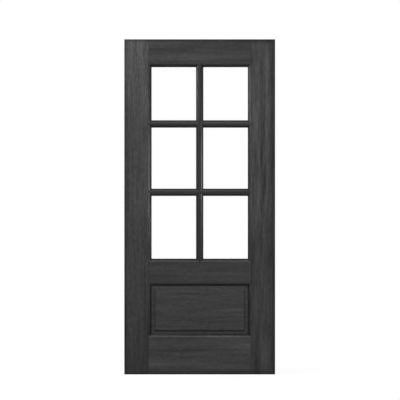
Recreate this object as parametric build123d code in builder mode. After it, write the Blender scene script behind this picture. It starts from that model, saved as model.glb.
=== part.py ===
from build123d import *
import os

# Front door leaf in stained hardwood: six glazed lights above one raised panel.
# Stiles and rails carry an ovolo moulding on both faces, with a groove between the two mouldings.
# Each rail and glazing bar is coped over the moulding that it meets. Sealed glass units lie behind
# the front moulding on setting blocks, and mitred beads of the same moulding hold them at the back.
# Millimetres. The origin is the middle of the bottom edge at mid thickness, X runs across the leaf,
# Y from the front face to the back face, and Z up.

# Leaf
leaf_width = 914.4
leaf_height = 2032.0
leaf_thickness = 44.45
arris_radius = 2.0

# Frame members, from their outer edge to the sightline
stile_width = 165.1
top_rail_width = 167.5
lock_rail_width = 165.1
bottom_rail_width = 245.0
panel_opening_height = 291.4

# Ovolo moulding round every opening
moulding_width = 18.25
quirk_width = 3.2
sight_edge = 3.9
arris_step = 1.6
cope_clearance = 0.05

# Glazing bars, and the rows of lights as shares of the clear glazed height
bar_width = 44.45
bar_tenon_length = 12.0
upper_light_share = 0.3007
middle_light_share = 0.345

# Sealed glass units and their bedding
pane_thickness = 3.0
air_space = 6.7
tape_thickness = 1.0
tape_width = 10.0
edge_clearance = 3.2
edge_seal_width = 4.0
spacer_width = 7.0
block_length = 60.0
block_place_share = 0.25

# Raised panel
field_setback = 4.0
tongue_clearance = 0.2
tongue_end_clearance = 3.2
bevel_width = 13.0
bevel_rise = 1.6
cove_width = 10.8
field_step = 1.2

# Dowels that join the rails to the stiles
dowel_diameter = 12.7
dowel_length = 127.0
dowel_pitch = 66.0
dowel_clearance = 0.1
dowel_end_clearance = 2.0
short_rail_dowels = 2
bottom_rail_dowels = 3

# How far a cut runs past the face that it crosses
overrun = 2.0

# Sizes that follow from those above; a line is where a flat face ends and its moulding begins
half_width = leaf_width / 2
half_thickness = leaf_thickness / 2
bed_depth = 2 * (pane_thickness + tape_thickness) + air_space
bed_half = bed_depth / 2
stile_face = stile_width - moulding_width
stile_line = half_width - stile_face
bar_face = bar_width - 2 * moulding_width
bar_half = bar_face / 2
bottom_line = bottom_rail_width - moulding_width
lock_sight = bottom_rail_width + panel_opening_height + lock_rail_width
lock_low_line = bottom_rail_width + panel_opening_height + moulding_width
lock_high_line = lock_sight - moulding_width
top_sight = leaf_height - top_rail_width
top_line = top_sight + moulding_width
clear_height = top_sight - lock_sight - 2 * bar_width
upper_bar_height = top_sight - upper_light_share * clear_height - bar_width / 2
lower_bar_height = upper_bar_height - middle_light_share * clear_height - bar_width
bar_heights = {"upper": upper_bar_height, "lower": lower_bar_height}

# Directions
LEFT = Vector(-1, 0, 0)
RIGHT = Vector(1, 0, 0)
FRONT = Vector(0, -1, 0)
BACK = Vector(0, 1, 0)
DOWN = Vector(0, 0, -1)
UP = Vector(0, 0, 1)

# Lights between the lines of the members round them: left, right, low and high
rows = {
    "upper": (upper_bar_height + bar_half, top_line),
    "middle": (lower_bar_height + bar_half, upper_bar_height - bar_half),
    "lower": (lock_high_line, lower_bar_height - bar_half),
}
columns = {"left": (-stile_line, -bar_half), "right": (bar_half, stile_line)}
lights = {
    f"{row}_{column}": (left, right, low, high)
    for row, (low, high) in rows.items()
    for column, (left, right) in columns.items()
}


def moulding_section(middle, into, face, clearance=0, root=0):
    """Moulding in section, pointing into an opening, on the front or back face."""
    ovolo_top = half_thickness - arris_step + clearance
    ovolo_run = moulding_width - quirk_width + clearance
    quirk_top = bed_half + sight_edge + clearance
    sight_line = moulding_width + clearance
    back = bed_half - clearance
    with BuildSketch(Plane(origin=middle, x_dir=into, z_dir=into.cross(face))) as section:
        with BuildLine():
            Polyline(
                (0, ovolo_top),
                (0, back),
                (sight_line, back),
                (sight_line, quirk_top),
                (ovolo_run, quirk_top),
            )
            TangentArc((0, ovolo_top), (ovolo_run, quirk_top), tangent=(1, 0))
        make_face()
        if root > 0:
            with Locations((0, back)):
                Rectangle(root, ovolo_top - back, align=(Align.MAX, Align.MIN))
    return section.sketch


def run_moulding(middle, into, face, length):
    """Straight moulding about its middle."""
    extrude(moulding_section(middle, into, face), amount=length / 2, both=True)


def cope(middle, into, face, length):
    """Cut that fits an end over the moulding of the member that it meets."""
    cutter = moulding_section(middle, into, face, cope_clearance, overrun)
    extrude(cutter, amount=length / 2 + overrun, both=True, mode=Mode.SUBTRACT)


def dowel_heights(low, high, count):
    """Heights of the dowels in a rail end, evenly pitched about its middle."""
    first = (low + high - (count - 1) * dowel_pitch) / 2
    return [first + index * dowel_pitch for index in range(count)]


top_dowels = dowel_heights(top_line, leaf_height, short_rail_dowels)
lock_dowels = dowel_heights(lock_low_line, lock_high_line, short_rail_dowels)
bottom_dowels = dowel_heights(0, bottom_line, bottom_rail_dowels)
all_dowels = top_dowels + lock_dowels + bottom_dowels


def drill_dowel_holes(heights):
    """Blind holes across both stile lines at the given heights."""
    with Locations(*[(side * stile_line, 0, height) for side in (-1, 1) for height in heights]):
        Cylinder(
            dowel_diameter / 2 + dowel_clearance,
            dowel_length + 2 * dowel_end_clearance,
            rotation=(0, 90, 0),
            mode=Mode.SUBTRACT,
        )


def keep_part(part, name):
    """Labels a finished piece and writes it."""
    part.label = name
    export_step(part, f"parts/{name}.step")


os.makedirs("parts", exist_ok=True)

# Stiles: full-height boards, with the back moulding left off beside the glass
with BuildPart() as left_stile:
    with BuildSketch():
        with Locations((-half_width, 0)):
            Rectangle(stile_face, leaf_thickness, align=(Align.MIN, Align.CENTER))
    extrude(amount=leaf_height)
    joint_edges = left_stile.faces().sort_by(Axis.X)[-1].edges()
    fillet(left_stile.edges() - joint_edges, radius=arris_radius)
    run_moulding((-stile_line, 0, leaf_height / 2), RIGHT, FRONT, leaf_height)
    for low, high in ((0, lock_high_line), (top_line, leaf_height)):
        run_moulding((-stile_line, 0, (low + high) / 2), RIGHT, BACK, high - low)
    with Locations(*[(-stile_line, 0, height) for height in bar_heights.values()]):
        Box(
            bar_tenon_length,
            bed_depth,
            bar_face,
            align=(Align.MAX, Align.CENTER, Align.CENTER),
            mode=Mode.SUBTRACT,
        )
    drill_dowel_holes(all_dowels)
keep_part(left_stile.part, "left_stile")

with BuildPart() as right_stile:
    mirror(left_stile.part, about=Plane.YZ)
keep_part(right_stile.part, "right_stile")


def build_rail(low, high, mouldings, eased_group, mortise_heights, dowels):
    """Rail between two heights, moulded on the listed edges and coped over both stiles."""
    with BuildPart() as rail:
        with BuildSketch(Plane.XY.offset(low)):
            Rectangle(2 * stile_line, leaf_thickness)
        extrude(amount=high - low)
        if eased_group is not None:
            fillet(rail.edges().filter_by(Axis.X).group_by(Axis.Z)[eased_group], radius=arris_radius)
        for height, into, face in mouldings:
            run_moulding((0, 0, height), into, face, 2 * stile_line)
        for side, into in ((-1, RIGHT), (1, LEFT)):
            for face in (FRONT, BACK):
                cope((side * stile_line, 0, leaf_height / 2), into, face, leaf_height)
        for mortise_low in mortise_heights:
            with Locations((0, 0, mortise_low)):
                Box(
                    bar_face,
                    bed_depth,
                    bar_tenon_length,
                    align=(Align.CENTER, Align.CENTER, Align.MIN),
                    mode=Mode.SUBTRACT,
                )
        drill_dowel_holes(dowels)
    return rail.part


# Rails: the lock and bottom rails are moulded on both faces round the panel
top_rail = build_rail(top_line, leaf_height, [(top_line, DOWN, FRONT)], -1, [top_line], top_dowels)
lock_rail = build_rail(
    lock_low_line,
    lock_high_line,
    [(lock_high_line, UP, FRONT), (lock_low_line, DOWN, FRONT), (lock_low_line, DOWN, BACK)],
    None,
    [lock_high_line - bar_tenon_length],
    lock_dowels,
)
bottom_rail = build_rail(
    0,
    bottom_line,
    [(bottom_line, UP, FRONT), (bottom_line, UP, BACK)],
    0,
    [],
    bottom_dowels,
)
keep_part(top_rail, "top_rail")
keep_part(lock_rail, "lock_rail")
keep_part(bottom_rail, "bottom_rail")

# Dowels, half in a rail and half in a stile
with BuildPart() as joint_dowels:
    with Locations(*[(side * stile_line, 0, height) for side in (-1, 1) for height in all_dowels]):
        Cylinder(dowel_diameter / 2, dowel_length, rotation=(0, 90, 0))
keep_part(joint_dowels.part, "joint_dowels")

# Vertical bar: one length, tenoned and coped into the top and lock rails
with BuildPart() as vertical_bar:
    bar_length = top_line - lock_high_line
    bar_middle = (top_line + lock_high_line) / 2
    with Locations((0, 0, bar_middle)):
        Box(bar_face, leaf_thickness, bar_length)
        Box(bar_face, bed_depth, bar_length + 2 * bar_tenon_length)
    run_moulding((bar_half, 0, bar_middle), RIGHT, FRONT, bar_length)
    run_moulding((-bar_half, 0, bar_middle), LEFT, FRONT, bar_length)
    cope((0, 0, top_line), DOWN, FRONT, bar_width)
    cope((0, 0, lock_high_line), UP, FRONT, bar_width)
keep_part(vertical_bar.part, "vertical_bar")


def build_horizontal_bar(height, side):
    """Short bar, tenoned and coped into a stile and coped over the vertical bar."""
    outwards = RIGHT * side
    length = stile_line - bar_half
    middle = side * (stile_line + bar_half) / 2
    with BuildPart() as bar:
        with Locations((middle, 0, height)):
            Box(length, leaf_thickness, bar_face)
        with Locations((middle + side * bar_tenon_length / 2, 0, height)):
            Box(length + bar_tenon_length, bed_depth, bar_face)
        run_moulding((middle, 0, height + bar_half), UP, FRONT, length)
        run_moulding((middle, 0, height - bar_half), DOWN, FRONT, length)
        cope((side * stile_line, 0, height), -outwards, FRONT, bar_width)
        cope((side * bar_half, 0, height), outwards, FRONT, bar_width)
    return bar.part


for row, bar_height in bar_heights.items():
    keep_part(build_horizontal_bar(bar_height, -1), f"{row}_left_bar")
    keep_part(build_horizontal_bar(bar_height, 1), f"{row}_right_bar")


def panel_section(plane, span):
    """Raised panel in section: tongue, bevel, cove, step and field, the same at both ends and faces."""
    edge = span / 2
    tongue_half = bed_half - tongue_clearance
    field_half = half_thickness - field_setback
    bevel_start = edge - (moulding_width - tongue_end_clearance)
    cove_start = bevel_start - bevel_width
    field_edge = cove_start - cove_width
    bevel_top = tongue_half + bevel_rise
    with BuildSketch(plane) as section:
        with BuildLine():
            Polyline((edge, 0), (edge, tongue_half), (bevel_start, tongue_half), (cove_start, bevel_top))
            TangentArc(
                (cove_start, bevel_top),
                (field_edge, field_half - field_step),
                tangent=(-bevel_width, bevel_rise),
            )
            Polyline((field_edge, field_half - field_step), (field_edge, field_half), (0, field_half))
            mirror(about=Plane.YZ)
            mirror(about=Plane.XZ)
        make_face()
    return section.sketch


# Raised panel: the section run across, cut to the same section run upwards, so its corners mitre
with BuildPart() as raised_panel:
    panel_width = 2 * (stile_line - tongue_end_clearance)
    panel_height = lock_low_line - bottom_line - 2 * tongue_end_clearance
    panel_middle = (lock_low_line + bottom_line) / 2
    upright_plane = Plane(origin=(0, 0, panel_middle), x_dir=UP, z_dir=RIGHT)
    level_plane = Plane.XY.offset(panel_middle)
    extrude(panel_section(upright_plane, panel_height), amount=panel_width / 2, both=True)
    extrude(
        panel_section(level_plane, panel_width),
        amount=panel_height / 2,
        both=True,
        mode=Mode.INTERSECT,
    )
keep_part(raised_panel.part, "raised_panel")


def fill_light(light, front, thickness, inset, frame_width=None):
    """Sheet in a light, inset from its four lines, or a frame where it has a frame width."""
    left, right, low, high = light
    width = right - left - 2 * inset
    height = high - low - 2 * inset
    with BuildSketch(Plane.XZ.offset(-front - thickness)) as sheet:
        with Locations(((left + right) / 2, (low + high) / 2)):
            Rectangle(width, height)
            if frame_width is not None:
                Rectangle(width - 2 * frame_width, height - 2 * frame_width, mode=Mode.SUBTRACT)
    extrude(sheet.sketch, amount=thickness)


# Sealed glass units: two panes with a spacer between them, in every light
outer_pane_front = -bed_half + tape_thickness
spacer_front = outer_pane_front + pane_thickness
inner_pane_front = spacer_front + air_space
rear_tape_front = inner_pane_front + pane_thickness
spacer_inset = edge_clearance + edge_seal_width
for light_name, light in lights.items():
    with BuildPart() as outer_pane:
        fill_light(light, outer_pane_front, pane_thickness, edge_clearance)
    keep_part(outer_pane.part, f"outer_pane_{light_name}")

    with BuildPart() as spacer:
        fill_light(light, spacer_front, air_space, spacer_inset, spacer_width)
    keep_part(spacer.part, f"spacer_{light_name}")

    with BuildPart() as inner_pane:
        fill_light(light, inner_pane_front, pane_thickness, edge_clearance)
    keep_part(inner_pane.part, f"inner_pane_{light_name}")

# Seals round the spacers, and glazing tape on both sides of the units
with BuildPart() as edge_seals:
    for light in lights.values():
        fill_light(light, spacer_front, air_space, edge_clearance, edge_seal_width)
keep_part(edge_seals.part, "edge_seals")

with BuildPart() as front_glazing_tape:
    for light in lights.values():
        fill_light(light, -bed_half, tape_thickness, edge_clearance, tape_width)
keep_part(front_glazing_tape.part, "front_glazing_tape")

with BuildPart() as rear_glazing_tape:
    for light in lights.values():
        fill_light(light, rear_tape_front, tape_thickness, edge_clearance, tape_width)
keep_part(rear_glazing_tape.part, "rear_glazing_tape")

# Setting blocks under both panes, at the quarter points of each light
with BuildPart() as setting_blocks:
    block_depth = 2 * pane_thickness + air_space
    for left, right, low, high in lights.values():
        block_offset = block_place_share * (right - left)
        with Locations((left + block_offset, 0, low), (right - block_offset, 0, low)):
            Box(
                block_length,
                block_depth,
                edge_clearance,
                align=(Align.CENTER, Align.CENTER, Align.MIN),
            )
keep_part(setting_blocks.part, "setting_blocks")


def build_bead(middle, into, length):
    """Bead of the moulding on the back face, mitred at both ends."""
    along = into.cross(BACK)
    with BuildPart() as bead:
        run_moulding(middle, into, BACK, length)
        for end in (-1, 1):
            corner = middle + along * (end * length / 2)
            split(bisect_by=Plane(origin=corner, z_dir=-(along * end + into)), keep=Keep.TOP)
    return bead.part


# Glazing beads: four round the back of every light
for light_name, (left, right, low, high) in lights.items():
    across = (left + right) / 2
    upright = (low + high) / 2
    keep_part(build_bead(Vector(across, 0, high), DOWN, right - left), f"bead_{light_name}_top")
    keep_part(build_bead(Vector(across, 0, low), UP, right - left), f"bead_{light_name}_bottom")
    keep_part(build_bead(Vector(left, 0, upright), RIGHT, high - low), f"bead_{light_name}_left")
    keep_part(build_bead(Vector(right, 0, upright), LEFT, high - low), f"bead_{light_name}_right")
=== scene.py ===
import math
from collections import namedtuple

import bpy
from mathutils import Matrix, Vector


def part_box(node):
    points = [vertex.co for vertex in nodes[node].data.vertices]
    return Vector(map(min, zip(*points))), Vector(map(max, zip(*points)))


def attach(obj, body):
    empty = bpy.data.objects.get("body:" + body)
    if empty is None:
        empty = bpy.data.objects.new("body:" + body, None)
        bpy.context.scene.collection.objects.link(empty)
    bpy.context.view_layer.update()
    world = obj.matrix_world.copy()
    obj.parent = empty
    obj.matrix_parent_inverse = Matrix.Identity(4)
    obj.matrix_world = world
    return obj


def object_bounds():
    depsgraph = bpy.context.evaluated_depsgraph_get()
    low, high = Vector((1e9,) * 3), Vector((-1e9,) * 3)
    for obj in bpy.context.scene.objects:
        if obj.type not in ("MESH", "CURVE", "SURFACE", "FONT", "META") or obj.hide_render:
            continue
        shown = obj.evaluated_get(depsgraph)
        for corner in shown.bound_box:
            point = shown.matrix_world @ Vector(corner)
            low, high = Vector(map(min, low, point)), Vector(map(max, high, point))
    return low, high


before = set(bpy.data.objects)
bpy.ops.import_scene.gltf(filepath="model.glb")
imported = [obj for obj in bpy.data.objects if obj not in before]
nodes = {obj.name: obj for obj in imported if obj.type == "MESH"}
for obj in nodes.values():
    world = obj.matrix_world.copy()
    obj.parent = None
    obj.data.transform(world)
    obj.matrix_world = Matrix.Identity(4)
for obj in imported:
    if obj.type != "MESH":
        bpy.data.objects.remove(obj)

cad_low, cad_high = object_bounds()

# The leaf, read from the frame, in metres
leaf_half_width = cad_high.x
leaf_height = cad_high.z
face_depth = cad_high.y
stile_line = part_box("top_rail")[1].x
panel_low, panel_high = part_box("raised_panel")

# Camera: level, square to the front face
camera_lens = 150.0
camera_sensor = 36.0
frame_width = 2.4246
frame_centre_x = 0.0018
frame_centre_z = 1.0576

# Charcoal stain; painted shade at the leaf's rim, stain and painted shade in the mouldings, dark joints
stain_colour = (0.047, 0.047, 0.047)
# Painted shade along the leaf's outer edges
rim_shade_depth = 0.75
rim_skin = 0.003
joint_line_width = 0.003
joint_depth = 0.3
# Stain and painted shade on the moulding foot, eased by painted light on the quirk
foot_stain_shade_shallow = 0.0206
foot_stain_shade_deep = 0.0165
quirk_level = 0.01125
foot_stain_shade_depth = 0.62

# Ovolo of the frame members: its top, its radius and how much straighter it falls than a plain arc
ovolo_top = 0.020625
ovolo_radius = 0.01677
ovolo_lean = 0.3

# Raised panel, from its edge inwards: where the slope, the cove and the field begin
slope_inset = 0.01505
cove_inset = 0.02805
field_inset = 0.03885
border_blur = 0.003
seam_height = 0.422
seam_width = 0.0025
# Stain and painted shade in the panel's cove, painted light on its slopes (a negative share), and a dark
# seam
cove_shade_depth = 0.2
slope_light_depth = -0.2
seam_depth = 0.3

# Satin finish over the stain, duller in the pores of the grain
satin_roughness = 0.22
pore_roughness = 0.2
satin_specular = 0.12
pore_depth = 0.18
grain_relief = 0.00015

# Brads that pin the glazing beads, on the ovolo of the bead
brad_pitch = 0.135
brad_head_radius = 0.0009
brad_across = 0.0080
brad_end = 0.045
ovolo_run = 0.01505
ovolo_drop = 0.009375


# Shader helpers


def add_node(tree, kind, inputs=None, **settings):
    """A node with its settings made and its inputs linked or set."""
    node = tree.nodes.new(kind)
    for name, value in settings.items():
        setattr(node, name, value)
    for name, value in (inputs or {}).items():
        if isinstance(value, bpy.types.NodeSocket):
            tree.links.new(value, node.inputs[name])
        else:
            node.inputs[name].default_value = value
    return node


def calculate(tree, operation, first, second=0.0):
    """Output of a Math node."""
    return add_node(tree, "ShaderNodeMath", {0: first, 1: second}, operation=operation).outputs[0]


def stretch(tree, vector, along, across):
    """A coordinate scaled along the grain and across it."""
    scale = (along, across, across)
    return add_node(tree, "ShaderNodeVectorMath", {0: vector, 1: scale}, operation="MULTIPLY").outputs[0]


def noise(tree, vector, detail, roughness):
    """Soft noise about one half."""
    inputs = {"Vector": vector, "Scale": 1.0, "Detail": detail, "Roughness": roughness}
    return add_node(tree, "ShaderNodeTexNoise", inputs).outputs["Fac"]


def fade(tree, value, start, end):
    """Smooth rise from 0 at start to 1 at end."""
    inputs = {"Value": value, "From Min": start, "From Max": end}
    ramp = add_node(tree, "ShaderNodeMapRange", inputs, interpolation_type="SMOOTHSTEP")
    return ramp.outputs["Result"]


def new_group(name, inputs, outputs):
    """An empty shader group with named float and vector sockets, and its input and output nodes."""
    group = bpy.data.node_groups.new(name, "ShaderNodeTree")
    for socket, kind in inputs.items():
        group.interface.new_socket(socket, in_out="INPUT", socket_type=f"NodeSocket{kind}")
    for socket, kind in outputs.items():
        group.interface.new_socket(socket, in_out="OUTPUT", socket_type=f"NodeSocket{kind}")
    return group, group.nodes.new("NodeGroupInput").outputs, group.nodes.new("NodeGroupOutput").inputs


def use_group(tree, group, inputs):
    """A node that places a group, with its own values."""
    node = add_node(tree, "ShaderNodeGroup", node_tree=group)
    for name, value in inputs.items():
        if isinstance(value, bpy.types.NodeSocket):
            tree.links.new(value, node.inputs[name])
        else:
            node.inputs[name].default_value = value
    return node.outputs


def new_material(name):
    """A material with a bare Principled shader, and that shader."""
    material = bpy.data.materials.new(name)
    material.use_nodes = True
    return material, material.node_tree, material.node_tree.nodes["Principled BSDF"]


# Effects that the timbers share


def make_grain_group():
    """Grain of an open-pored hardwood that runs along X: broad figure, streaks, short flecks and pores."""
    shares = ("Figure", "Streaks", "Flecks", "Pores")
    group, given, result = new_group(
        "Hardwood grain",
        {
            "Coordinate": "Vector",
            "Board": "Float",
            "Fineness": "Float",
            **{share: "Float" for share in shares},
        },
        {"Tone": "Float", "Pore mask": "Float", "Height": "Float"},
    )
    board_place = add_node(
        group,
        "ShaderNodeVectorMath",
        {0: (7.31, 3.17, 1.73), "Scale": given["Board"]},
        operation="SCALE",
    ).outputs[0]
    place = add_node(
        group,
        "ShaderNodeVectorMath",
        {0: given["Coordinate"], 1: board_place},
        operation="ADD",
    ).outputs[0]
    wander = noise(group, stretch(group, place, 1.6, 6.0), 1.0, 0.4)
    drift = calculate(group, "MULTIPLY", calculate(group, "SUBTRACT", wander, 0.5), 0.018)
    drift_vector = add_node(group, "ShaderNodeCombineXYZ", {"Y": drift, "Z": drift}).outputs[0]
    bent = add_node(group, "ShaderNodeVectorMath", {0: place, 1: drift_vector}, operation="ADD").outputs[0]
    squeeze = add_node(
        group, "ShaderNodeCombineXYZ", {"X": 1.0, "Y": given["Fineness"], "Z": given["Fineness"]}
    ).outputs[0]
    bands = add_node(group, "ShaderNodeVectorMath", {0: bent, 1: squeeze}, operation="MULTIPLY").outputs[0]
    figure = noise(group, stretch(group, bands, 1.4, 34.0), 2.0, 0.5)
    streaks = noise(group, stretch(group, bands, 5.0, 110.0), 3.0, 0.6)
    flecks = noise(group, stretch(group, bands, 38.0, 130.0), 2.0, 0.5)
    fibres = noise(group, stretch(group, bent, 22.0, 1100.0), 2.0, 0.5)
    pore_mask = fade(group, fibres, 0.58, 0.72)
    tone = 1.0
    for pattern, share in zip((figure, streaks, flecks), shares):
        swing = calculate(group, "MULTIPLY", calculate(group, "SUBTRACT", pattern, 0.5), given[share])
        tone = calculate(group, "ADD", tone, swing)
    tone = calculate(group, "SUBTRACT", tone, calculate(group, "MULTIPLY", pore_mask, given["Pores"]))
    ridges = calculate(group, "MULTIPLY", streaks, 0.4)
    group.links.new(tone, result["Tone"])
    group.links.new(pore_mask, result["Pore mask"])
    group.links.new(calculate(group, "SUBTRACT", ridges, pore_mask), result["Height"])
    return group


def make_rim_shade_group():
    """Painted shade on both faces along the leaf's outer edges, 1 at the edge and 0 past the band."""
    group, given, result = new_group(
        "Rim painted shade",
        {
            "Coordinate": "Vector",
            "Half width": "Float",
            "Height": "Float",
            "Face": "Float",
            "Skin": "Float",
            "Band": "Float",
        },
        {"Rim": "Float"},
    )
    place = add_node(group, "ShaderNodeSeparateXYZ", {0: given["Coordinate"]}).outputs
    to_side = calculate(group, "SUBTRACT", given["Half width"], calculate(group, "ABSOLUTE", place["X"]))
    to_top = calculate(group, "SUBTRACT", given["Height"], place["Z"])
    nearest = calculate(group, "MINIMUM", to_side, calculate(group, "MINIMUM", to_top, place["Z"]))
    reach = calculate(group, "SUBTRACT", 1.0, calculate(group, "DIVIDE", nearest, given["Band"]))
    kept = calculate(group, "MAXIMUM", calculate(group, "MINIMUM", reach, 1.0), 0.0)
    below_face = calculate(group, "SUBTRACT", given["Face"], calculate(group, "ABSOLUTE", place["Y"]))
    on_face = fade(group, below_face, given["Skin"], 0.0)
    softened = calculate(group, "POWER", kept, 1.5)
    group.links.new(calculate(group, "MULTIPLY", softened, on_face), result["Rim"])
    return group


def make_foot_stain_shade_group():
    """Stain and painted shade on the mouldings' steep foot, half taken off again as painted light on the
    quirk.
    """
    group, given, result = new_group(
        "Foot stain and painted shade",
        {"Coordinate": "Vector", "Shallow": "Float", "Deep": "Float", "Quirk": "Float"},
        {"Foot stain and shade": "Float"},
    )
    place = add_node(group, "ShaderNodeSeparateXYZ", {0: given["Coordinate"]}).outputs
    depth = calculate(group, "ABSOLUTE", place["Y"])
    steep = fade(group, depth, given["Shallow"], given["Deep"])
    # Painted light on the quirk takes half of the darkening off again
    foot = calculate(group, "MULTIPLY", given["Quirk"], 1.1)
    painted_lift = calculate(group, "MULTIPLY", fade(group, depth, foot, given["Quirk"]), 0.5)
    kept_shade = calculate(group, "SUBTRACT", 1.0, painted_lift)
    group.links.new(calculate(group, "MULTIPLY", steep, kept_shade), result["Foot stain and shade"])
    return group


def make_lean_group():
    """Height that falls evenly across an ovolo, so that its upper half leans more than a plain arc does."""
    group, given, result = new_group(
        "Ovolo lean",
        {"Coordinate": "Vector", "Top": "Float", "Foot": "Float", "Radius": "Float", "Lean": "Float"},
        {"Height": "Float"},
    )
    place = add_node(group, "ShaderNodeSeparateXYZ", {0: given["Coordinate"]}).outputs
    depth = calculate(group, "ABSOLUTE", place["Y"])
    kept = calculate(group, "MAXIMUM", calculate(group, "MINIMUM", depth, given["Top"]), given["Foot"])
    drop = calculate(group, "SUBTRACT", given["Top"], kept)
    chord = calculate(group, "SUBTRACT", calculate(group, "MULTIPLY", given["Radius"], 2.0), drop)
    across = calculate(group, "SQRT", calculate(group, "MULTIPLY", drop, chord))
    fall = calculate(group, "MULTIPLY", across, given["Lean"])
    group.links.new(calculate(group, "SUBTRACT", 0.0, fall), result["Height"])
    return group


def make_border_group():
    """A border round the face of a panel, between two insets from its edge."""
    group, given, result = new_group(
        "Panel border",
        {
            "Coordinate": "Vector",
            "Half width": "Float",
            "Half height": "Float",
            "Outer": "Float",
            "Inner": "Float",
            "Blur": "Float",
        },
        {"Border": "Float"},
    )
    place = add_node(group, "ShaderNodeSeparateXYZ", {0: given["Coordinate"]}).outputs
    to_side = calculate(group, "SUBTRACT", given["Half width"], calculate(group, "ABSOLUTE", place["X"]))
    to_end = calculate(group, "SUBTRACT", given["Half height"], calculate(group, "ABSOLUTE", place["Z"]))
    inset = calculate(group, "MINIMUM", to_side, to_end)
    before = calculate(group, "SUBTRACT", given["Outer"], given["Blur"])
    beyond = calculate(group, "ADD", given["Inner"], given["Blur"])
    entering = fade(group, inset, before, given["Outer"])
    leaving = fade(group, inset, beyond, given["Inner"])
    group.links.new(calculate(group, "MULTIPLY", entering, leaving), result["Border"])
    return group


def make_joint_group():
    """Dark hairline where two members meet, across X on both sides of the leaf."""
    group, given, result = new_group(
        "Joint line",
        {"Coordinate": "Vector", "Joint": "Float", "Width": "Float"},
        {"Line": "Float"},
    )
    place = add_node(group, "ShaderNodeSeparateXYZ", {0: given["Coordinate"]}).outputs
    offset = calculate(group, "SUBTRACT", calculate(group, "ABSOLUTE", place["X"]), given["Joint"])
    group.links.new(fade(group, calculate(group, "ABSOLUTE", offset), given["Width"], 0.0), result["Line"])
    return group


grain_group = make_grain_group()
rim_shade_group = make_rim_shade_group()
foot_stain_shade_group = make_foot_stain_shade_group()
lean_group = make_lean_group()
joint_group = make_joint_group()
border_group = make_border_group()


# Finishes


def stained_timber(name, seed, board, gather_stain_and_shade):
    """Charcoal-stained hardwood with the grain along its board, with stain, painted shade and painted light
    in some places.
    """
    material, tree, shader = new_material(name)
    coordinate = add_node(tree, "ShaderNodeTexCoord").outputs["Object"]
    along = add_node(tree, "ShaderNodeMapping", {"Vector": coordinate, "Rotation": board.turn}).outputs[0]
    grain = use_group(
        tree,
        grain_group,
        {
            "Coordinate": along,
            "Board": seed,
            "Fineness": board.fineness,
            "Figure": board.figure,
            "Streaks": board.streaks,
            "Flecks": board.flecks,
            "Pores": pore_depth,
        },
    )
    height = add_node(tree, "ShaderNodeSeparateXYZ", {0: coordinate}).outputs["Z"]
    # The board's tone, partly its stain and partly painted light, paler towards the top by its fade, a
    # painted light falloff
    tone_and_painted_light = add_node(
        tree,
        "ShaderNodeMapRange",
        {
            "Value": height,
            "From Max": leaf_height,
            "To Min": board.tone * (1 - board.fade),
            "To Max": board.tone * (1 + board.fade),
        },
    )
    level = calculate(tree, "MULTIPLY", grain["Tone"], tone_and_painted_light.outputs["Result"])
    # Each mask darkens the colour by its share: mostly painted shade, and a negative share paints light
    for mask, share in gather_stain_and_shade(tree, coordinate, board):
        kept = calculate(tree, "SUBTRACT", 1.0, calculate(tree, "MULTIPLY", mask, share))
        level = calculate(tree, "MULTIPLY", level, kept)
    colour = add_node(tree, "ShaderNodeVectorMath", {0: stain_colour, "Scale": level}, operation="SCALE")
    dulled = calculate(tree, "MULTIPLY", grain["Pore mask"], pore_roughness)
    roughness = calculate(tree, "ADD", dulled, satin_roughness)
    lean = use_group(
        tree,
        lean_group,
        {
            "Coordinate": coordinate,
            "Top": ovolo_top,
            "Foot": quirk_level,
            "Radius": ovolo_radius,
            "Lean": board.lean,
        },
    )
    leaning = add_node(tree, "ShaderNodeBump", {"Height": lean["Height"], "Distance": 1.0, "Strength": 1.0})
    bump = add_node(
        tree,
        "ShaderNodeBump",
        {
            "Height": grain["Height"],
            "Distance": grain_relief,
            "Strength": 0.5,
            "Normal": leaning.outputs[0],
        },
    )
    tree.links.new(colour.outputs[0], shader.inputs["Base Color"])
    tree.links.new(roughness, shader.inputs["Roughness"])
    tree.links.new(bump.outputs[0], shader.inputs["Normal"])
    shader.inputs["Specular IOR Level"].default_value = satin_specular
    return material


def member_stain_and_shade(tree, coordinate, board):
    """On a frame member: painted shade at the leaf's rim, stain and painted shade on the moulding foot, and
    dark joints.
    """
    # Painted shade along the leaf's outer edges
    rim = use_group(
        tree,
        rim_shade_group,
        {
            "Coordinate": coordinate,
            "Half width": leaf_half_width,
            "Height": leaf_height,
            "Face": face_depth,
            "Skin": rim_skin,
            "Band": board.rim,
        },
    )
    # Stain and painted shade on the moulding foot, with painted light on the quirk
    foot_stain_shade = use_group(
        tree,
        foot_stain_shade_group,
        {"Coordinate": coordinate, "Shallow": foot_stain_shade_shallow, "Deep": foot_stain_shade_deep, "Quirk": quirk_level},
    )
    joint = use_group(
        tree, joint_group, {"Coordinate": coordinate, "Joint": stile_line, "Width": joint_line_width}
    )
    return ((rim["Rim"], rim_shade_depth), (foot_stain_shade["Foot stain and shade"], foot_stain_shade_depth), (joint["Line"], joint_depth))


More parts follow.
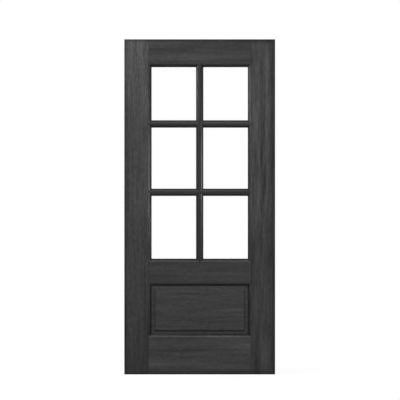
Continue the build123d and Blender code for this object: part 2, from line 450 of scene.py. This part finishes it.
def panel_stain_and_shade(tree, coordinate, board):
    """On the panel: stain and painted shade in the cove, a dark seam, and painted light on the slopes."""
    middle = (panel_low + panel_high) / 2
    centred = add_node(tree, "ShaderNodeMapping", {"Vector": coordinate, "Location": -middle}).outputs[0]
    face = {
        "Coordinate": centred,
        "Half width": (panel_high.x - panel_low.x) / 2,
        "Half height": (panel_high.z - panel_low.z) / 2,
        "Blur": border_blur,
    }
    # Stain and painted shade in the cove, and painted light on the slopes
    cove = use_group(tree, border_group, {"Outer": cove_inset, "Inner": field_inset, **face})
    slope = use_group(tree, border_group, {"Outer": slope_inset, "Inner": cove_inset, **face})
    from_seam = add_node(
        tree,
        "ShaderNodeMapping",
        {"Vector": coordinate, "Location": (0.0, 0.0, -seam_height)},
    ).outputs[0]
    upended = add_node(tree, "ShaderNodeMapping", {"Vector": from_seam, "Rotation": UPRIGHT}).outputs[0]
    seam = use_group(tree, joint_group, {"Coordinate": upended, "Joint": 0.0, "Width": seam_width})
    return ((cove["Border"], cove_shade_depth), (slope["Border"], slope_light_depth), (seam["Line"], seam_depth))


def clear_glass():
    """Clear float glass, with a breath of haze that varies over the sheet."""
    material, tree, shader = new_material("clear_glass")
    coordinate = add_node(tree, "ShaderNodeTexCoord").outputs["Object"]
    haze = noise(tree, stretch(tree, coordinate, 4.0, 4.0), 3.0, 0.5)
    tree.links.new(calculate(tree, "MULTIPLY", haze, 0.02), shader.inputs["Roughness"])
    shader.inputs["Base Color"].default_value = (1.0, 1.0, 1.0, 1.0)
    shader.inputs["Transmission Weight"].default_value = 1.0
    shader.inputs["IOR"].default_value = 1.5
    return material


def mottled(name, dark, light, scale, roughness, bump_distance, metallic=0.0):
    """A matt or metal finish with fine mottling, for the pieces between the panes and in the joints."""
    material, tree, shader = new_material(name)
    coordinate = add_node(tree, "ShaderNodeTexCoord").outputs["Object"]
    speckle = noise(tree, stretch(tree, coordinate, scale, scale), 3.0, 0.6)
    shade = add_node(
        tree,
        "ShaderNodeMix",
        {"Factor": speckle, 6: (*dark, 1.0), 7: (*light, 1.0)},
        data_type="RGBA",
    ).outputs[2]
    bump = add_node(tree, "ShaderNodeBump", {"Height": speckle, "Distance": bump_distance, "Strength": 0.5})
    tree.links.new(shade, shader.inputs["Base Color"])
    tree.links.new(bump.outputs[0], shader.inputs["Normal"])
    shader.inputs["Roughness"].default_value = roughness
    shader.inputs["Metallic"].default_value = metallic
    return material


def plain_dowel_wood():
    """Unstained beech, with its grain along the dowel."""
    material, tree, shader = new_material("dowel_wood")
    coordinate = add_node(tree, "ShaderNodeTexCoord").outputs["Object"]
    grain = use_group(
        tree,
        grain_group,
        {
            "Coordinate": coordinate,
            "Board": 21.0,
            "Fineness": 1.0,
            "Figure": 0.2,
            "Streaks": 0.5,
            "Flecks": 0.5,
            "Pores": 0.1,
        },
    )
    colour = add_node(
        tree, "ShaderNodeVectorMath", {0: (0.52, 0.36, 0.22), "Scale": grain["Tone"]}, operation="SCALE"
    )
    tree.links.new(colour.outputs[0], shader.inputs["Base Color"])
    shader.inputs["Roughness"].default_value = 0.6
    return material


def dress(material, *names):
    """Gives a finish to the named CAD nodes."""
    for name in names:
        slots = nodes[name].material_slots
        if not slots:
            nodes[name].data.materials.append(material)
        for slot in slots:
            slot.material = material


LEVEL = (0.0, 0.0, 0.0)
UPRIGHT = (0.0, math.pi / 2, 0.0)
rows = ("upper", "middle", "lower")
columns = ("left", "right")
light_names = [f"{row}_{column}" for row in rows for column in columns]

# How each board differs: the way of its grain, how pale it is (partly its stain, partly painted light) and
# how much paler it is at the top (a painted light falloff), how fine its grain is and how strongly it
# shows, how wide the painted shade is at the leaf's rim, and how much its ovolo leans
traits = "members turn tone fade fineness figure streaks flecks rim lean"
Board = namedtuple("Board", traits, defaults=[0.0])
level_bars = [f"{row}_{column}_bar" for row in ("upper", "lower") for column in columns]
upright_beads = [f"bead_{light}_{side}" for light in light_names for side in columns]
level_beads = [f"bead_{light}_{side}" for light in light_names for side in ("top", "bottom")]
boards = {
    "left_stile": Board(["left_stile"], UPRIGHT, 1.03, 0.26, 0.9, 1.0, 1.0, 1.1, 0.022, ovolo_lean),
    "right_stile": Board(["right_stile"], UPRIGHT, 0.92, 0.0, 0.6, 2.2, 2.2, 0.6, 0.040, ovolo_lean),
    "top_rail": Board(["top_rail"], LEVEL, 0.76, 0.0, 0.7, 1.3, 0.7, 0.8, 0.024, ovolo_lean),
    "lock_rail": Board(["lock_rail"], LEVEL, 0.91, 0.0, 0.6, 1.1, 0.5, 0.6, 0.026, ovolo_lean),
    "bottom_rail": Board(["bottom_rail"], LEVEL, 1.27, 0.0, 0.65, 1.4, 0.8, 0.7, 0.042, ovolo_lean),
    "upright_bar": Board(["vertical_bar"], UPRIGHT, 0.60, 0.0, 1.0, 0.6, 0.8, 0.7, 0.026),
    "level_bar": Board(level_bars, LEVEL, 0.64, 0.0, 1.0, 0.6, 0.8, 0.7, 0.026),
    "upright_bead": Board(upright_beads, UPRIGHT, 0.90, 0.0, 1.0, 0.6, 0.8, 0.7, 0.026),
    "level_bead": Board(level_beads, LEVEL, 0.90, 0.0, 1.0, 0.6, 0.8, 0.7, 0.026),
}
for seed, (name, board) in enumerate(boards.items(), start=1):
    dress(stained_timber(f"{name}_stain", seed, board, member_stain_and_shade), *board.members)
panel_board = Board(["raised_panel"], LEVEL, 1.24, 0.25, 1.0, 0.8, 1.1, 0.9, 0.0)
dress(stained_timber("panel_stain_and_shade", 12, panel_board, panel_stain_and_shade), *panel_board.members)
dress(clear_glass(), *[f"{pane}_pane_{light}" for light in light_names for pane in ("outer", "inner")])
dress(
    mottled("spacer_metal", (0.50, 0.50, 0.51), (0.66, 0.66, 0.67), 900.0, 0.35, 0.00002, metallic=1.0),
    *[f"spacer_{light}" for light in light_names],
)
dress(mottled("edge_seal", (0.010, 0.010, 0.010), (0.022, 0.022, 0.022), 500.0, 0.7, 0.0001), "edge_seals")
dress(
    mottled("glazing_tape", (0.016, 0.016, 0.016), (0.034, 0.034, 0.034), 1400.0, 0.85, 0.0001),
    "front_glazing_tape",
    "rear_glazing_tape",
)
dress(
    mottled("setting_block", (0.02, 0.02, 0.02), (0.04, 0.04, 0.04), 700.0, 0.8, 0.0001),
    "setting_blocks",
)
dress(plain_dowel_wood(), "joint_dowels")


# Brads along the glazing beads


def make_brad_tree():
    """Tapered brad heads at an even pitch along every edge of a mesh, turned to its aim."""
    tree = bpy.data.node_groups.new("Bead brads", "GeometryNodeTree")
    face = tree.interface
    face.new_socket("Lines", in_out="INPUT", socket_type="NodeSocketGeometry")
    for name, kind in (("Pitch", "Float"), ("Head radius", "Float"), ("Finish", "Material")):
        face.new_socket(name, in_out="INPUT", socket_type=f"NodeSocket{kind}")
    face.new_socket("Brads", in_out="OUTPUT", socket_type="NodeSocketGeometry")
    given = tree.nodes.new("NodeGroupInput").outputs
    lines = add_node(tree, "GeometryNodeMeshToCurve", {"Mesh": given["Lines"]}).outputs[0]
    places = add_node(
        tree, "GeometryNodeResampleCurve", {"Curve": lines, "Length": given["Pitch"]}, mode="LENGTH"
    ).outputs[0]
    tip_radius = calculate(tree, "MULTIPLY", given["Head radius"], 0.6)
    head = add_node(
        tree,
        "GeometryNodeMeshCone",
        {
            "Vertices": 12,
            "Radius Top": tip_radius,
            "Radius Bottom": given["Head radius"],
            "Depth": tip_radius,
        },
    ).outputs["Mesh"]
    aim = add_node(tree, "GeometryNodeInputNamedAttribute", {"Name": "aim"}, data_type="FLOAT_VECTOR")
    turn = add_node(
        tree,
        "FunctionNodeAlignRotationToVector",
        {"Vector": aim.outputs["Attribute"]},
        axis="Z",
    )
    heads = add_node(
        tree,
        "GeometryNodeInstanceOnPoints",
        {"Points": places, "Instance": head, "Rotation": turn.outputs[0]},
    ).outputs[0]
    solid = add_node(tree, "GeometryNodeRealizeInstances", {"Geometry": heads}).outputs[0]
    finished = add_node(tree, "GeometryNodeSetMaterial", {"Geometry": solid, "Material": given["Finish"]})
    result = tree.nodes.new("NodeGroupOutput")
    tree.links.new(finished.outputs[0], result.inputs["Brads"])
    return tree


def bead_lines():
    """Ends of the brad row on every bead, and the way that its heads face."""
    radius = (ovolo_run**2 + ovolo_drop**2) / (2 * ovolo_drop)
    lean = math.asin(brad_across / radius)
    into = {"top": (0, -1), "bottom": (0, 1), "left": (1, 0), "right": (-1, 0)}
    ends, aims = [], []
    for light in light_names:
        for side, (x, z) in into.items():
            low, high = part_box(f"bead_{light}_{side}")
            middle = (low + high) / 2
            facing = Vector((x, 0.0, z))
            along = Vector((abs(z), 0.0, abs(x)))
            line = middle - facing * (high - low).dot(Vector((abs(x), 0.0, abs(z)))) / 2
            line = line + facing * brad_across
            line.y = high.y - radius * (1.0 - math.cos(lean))
            reach = (high - low).dot(along) / 2 - brad_end
            ends += [line - along * reach, line + along * reach]
            aims += 2 * [Vector((0.0, math.cos(lean), 0.0)) + facing * math.sin(lean)]
    return ends, aims


def drive_brads(finish):
    """Brad heads on all the beads, as one plain mesh."""
    ends, aims = bead_lines()
    lines = bpy.data.meshes.new("brad_lines")
    lines.from_pydata(ends, [(first, first + 1) for first in range(0, len(ends), 2)], [])
    aim = lines.attributes.new("aim", "FLOAT_VECTOR", "POINT")
    aim.data.foreach_set("vector", [value for vector in aims for value in vector])
    brads = bpy.data.objects.new("bead_brads", lines)
    bpy.context.scene.collection.objects.link(brads)
    tree = make_brad_tree()
    modifier = brads.modifiers.new("Bead brads", "NODES")
    modifier.node_group = tree
    values = {"Pitch": brad_pitch, "Head radius": brad_head_radius, "Finish": finish}
    for item in tree.interface.items_tree:
        if item.name in values:
            modifier[item.identifier] = values[item.name]
    bpy.context.view_layer.update()
    evaluated = brads.evaluated_get(bpy.context.evaluated_depsgraph_get())
    brads.data = bpy.data.meshes.new_from_object(evaluated)
    brads.modifiers.clear()
    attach(brads, "root")


drive_brads(
    mottled("brad_steel", (0.10, 0.10, 0.10), (0.16, 0.16, 0.16), 1200.0, 0.45, 0.00002, metallic=1.0)
)


# Studio


def softbox(name, place, aim, width, height, watts, spread=180.0, glossy=True):
    """A rectangular lamp turned towards a point, with its beam narrowed to a spread in degrees."""
    lamp = bpy.data.lights.new(name, "AREA")
    lamp.shape = "RECTANGLE"
    lamp.spread = math.radians(spread)
    lamp.size = width
    lamp.size_y = height
    lamp.energy = watts
    holder = bpy.data.objects.new(name, lamp)
    holder.location = place
    holder.rotation_euler = (Vector(aim) - Vector(place)).to_track_quat("-Z", "Y").to_euler()
    holder.visible_camera = False
    holder.visible_glossy = glossy
    bpy.context.scene.collection.objects.link(holder)


def seen_directly(tree):
    """1 for what the camera sees, straight or in gloss and glass, and 0 for light."""
    path = add_node(tree, "ShaderNodeLightPath").outputs
    mirrored = calculate(tree, "MAXIMUM", path["Is Glossy Ray"], path["Is Transmission Ray"])
    return calculate(tree, "MAXIMUM", path["Is Camera Ray"], mirrored)


def light_world(ambient):
    """Even white surroundings, dim as a light."""
    world = bpy.data.worlds.new("studio")
    world.use_nodes = True
    bpy.context.scene.world = world
    tree = world.node_tree
    background = tree.nodes["Background"]
    strength = add_node(tree, "ShaderNodeMapRange", {"Value": seen_directly(tree), "To Min": ambient})
    background.inputs["Color"].default_value = (1.0, 1.0, 1.0, 1.0)
    tree.links.new(strength.outputs["Result"], background.inputs["Strength"])


def lay_floor(half_size, lit_radius, white_radius, least_white):
    """White floor that takes a light shadow near the leaf and runs out to plain white."""
    mesh = bpy.data.meshes.new("floor")
    corners = [(x * half_size, y * half_size, 0.0) for x, y in ((-1, -1), (1, -1), (1, 1), (-1, 1))]
    mesh.from_pydata(corners, [], [(0, 1, 2, 3)])
    floor = bpy.data.objects.new("floor", mesh)
    bpy.context.scene.collection.objects.link(floor)
    material = bpy.data.materials.new("white_floor")
    material.use_nodes = True
    tree = material.node_tree
    tree.nodes.clear()
    coordinate = add_node(tree, "ShaderNodeTexCoord").outputs["Object"]
    reach = add_node(tree, "ShaderNodeVectorMath", {0: coordinate}, operation="LENGTH").outputs["Value"]
    seen = seen_directly(tree)
    run_out = fade(tree, reach, lit_radius, white_radius)
    whitened = add_node(tree, "ShaderNodeMapRange", {"Value": run_out, "To Min": least_white})
    plain = calculate(tree, "MULTIPLY", whitened.outputs["Result"], seen)
    brightness = add_node(tree, "ShaderNodeMapRange", {"Value": seen, "To Min": 0.2, "To Max": 0.95})
    lit = add_node(tree, "ShaderNodeBsdfDiffuse", {"Color": brightness.outputs["Result"]}).outputs[0]
    white = add_node(tree, "ShaderNodeEmission", {"Strength": 1.0}).outputs[0]
    mixed = add_node(tree, "ShaderNodeMixShader", {0: plain, 1: lit, 2: white}).outputs[0]
    add_node(tree, "ShaderNodeOutputMaterial", {"Surface": mixed})
    mesh.materials.append(material)


def place_camera():
    """Level camera, far enough for its lens to frame the photograph's width at the front face."""
    distance = camera_lens * frame_width / camera_sensor
    camera = bpy.data.cameras.new("camera")
    camera.lens = camera_lens
    camera.sensor_width = camera_sensor
    holder = bpy.data.objects.new("camera", camera)
    holder.location = (frame_centre_x, -face_depth - distance, frame_centre_z)
    holder.rotation_euler = (math.pi / 2, 0.0, 0.0)
    bpy.context.scene.collection.objects.link(holder)
    bpy.context.scene.camera = holder


softbox("key_softbox", (-2.20, -1.00, 4.80), (-0.20, 0.0, 1.60), 1.0, 1.0, 225.0)
softbox("front_softbox", (0.0, -3.00, 4.00), (0.0, 0.0, 1.00), 1.0, 1.0, 34.0)
softbox("left_softbox", (-2.20, -2.40, 1.90), (0.0, 0.0, 1.30), 0.6, 1.0, 18.0)
softbox("left_strip", (-0.80, -0.22, 2.07), (0.15, 0.0, 1.80), 0.3, 0.6, 0.8, 21.0)
softbox("right_softbox", (2.65, -2.40, 1.25), (-0.10, 0.0, 0.90), 0.3, 0.6, 7.0, 60.0)
softbox("right_strip", (2.20, -2.40, 1.35), (-0.10, 0.0, 1.25), 0.3, 0.4, 0.3, 18.0)
for side in (-1, 1):
    place = (side * 2.2, 3.0, 2.4)
    softbox(f"rear_softbox_{side}", place, (0.0, 0.0, 1.0), 1.0, 1.4, 95.0, glossy=False)
light_world(ambient=0.005)
lay_floor(half_size=8.0, lit_radius=0.25, white_radius=1.0, least_white=0.85)
place_camera()
bpy.context.scene.view_settings.view_transform = "Standard"
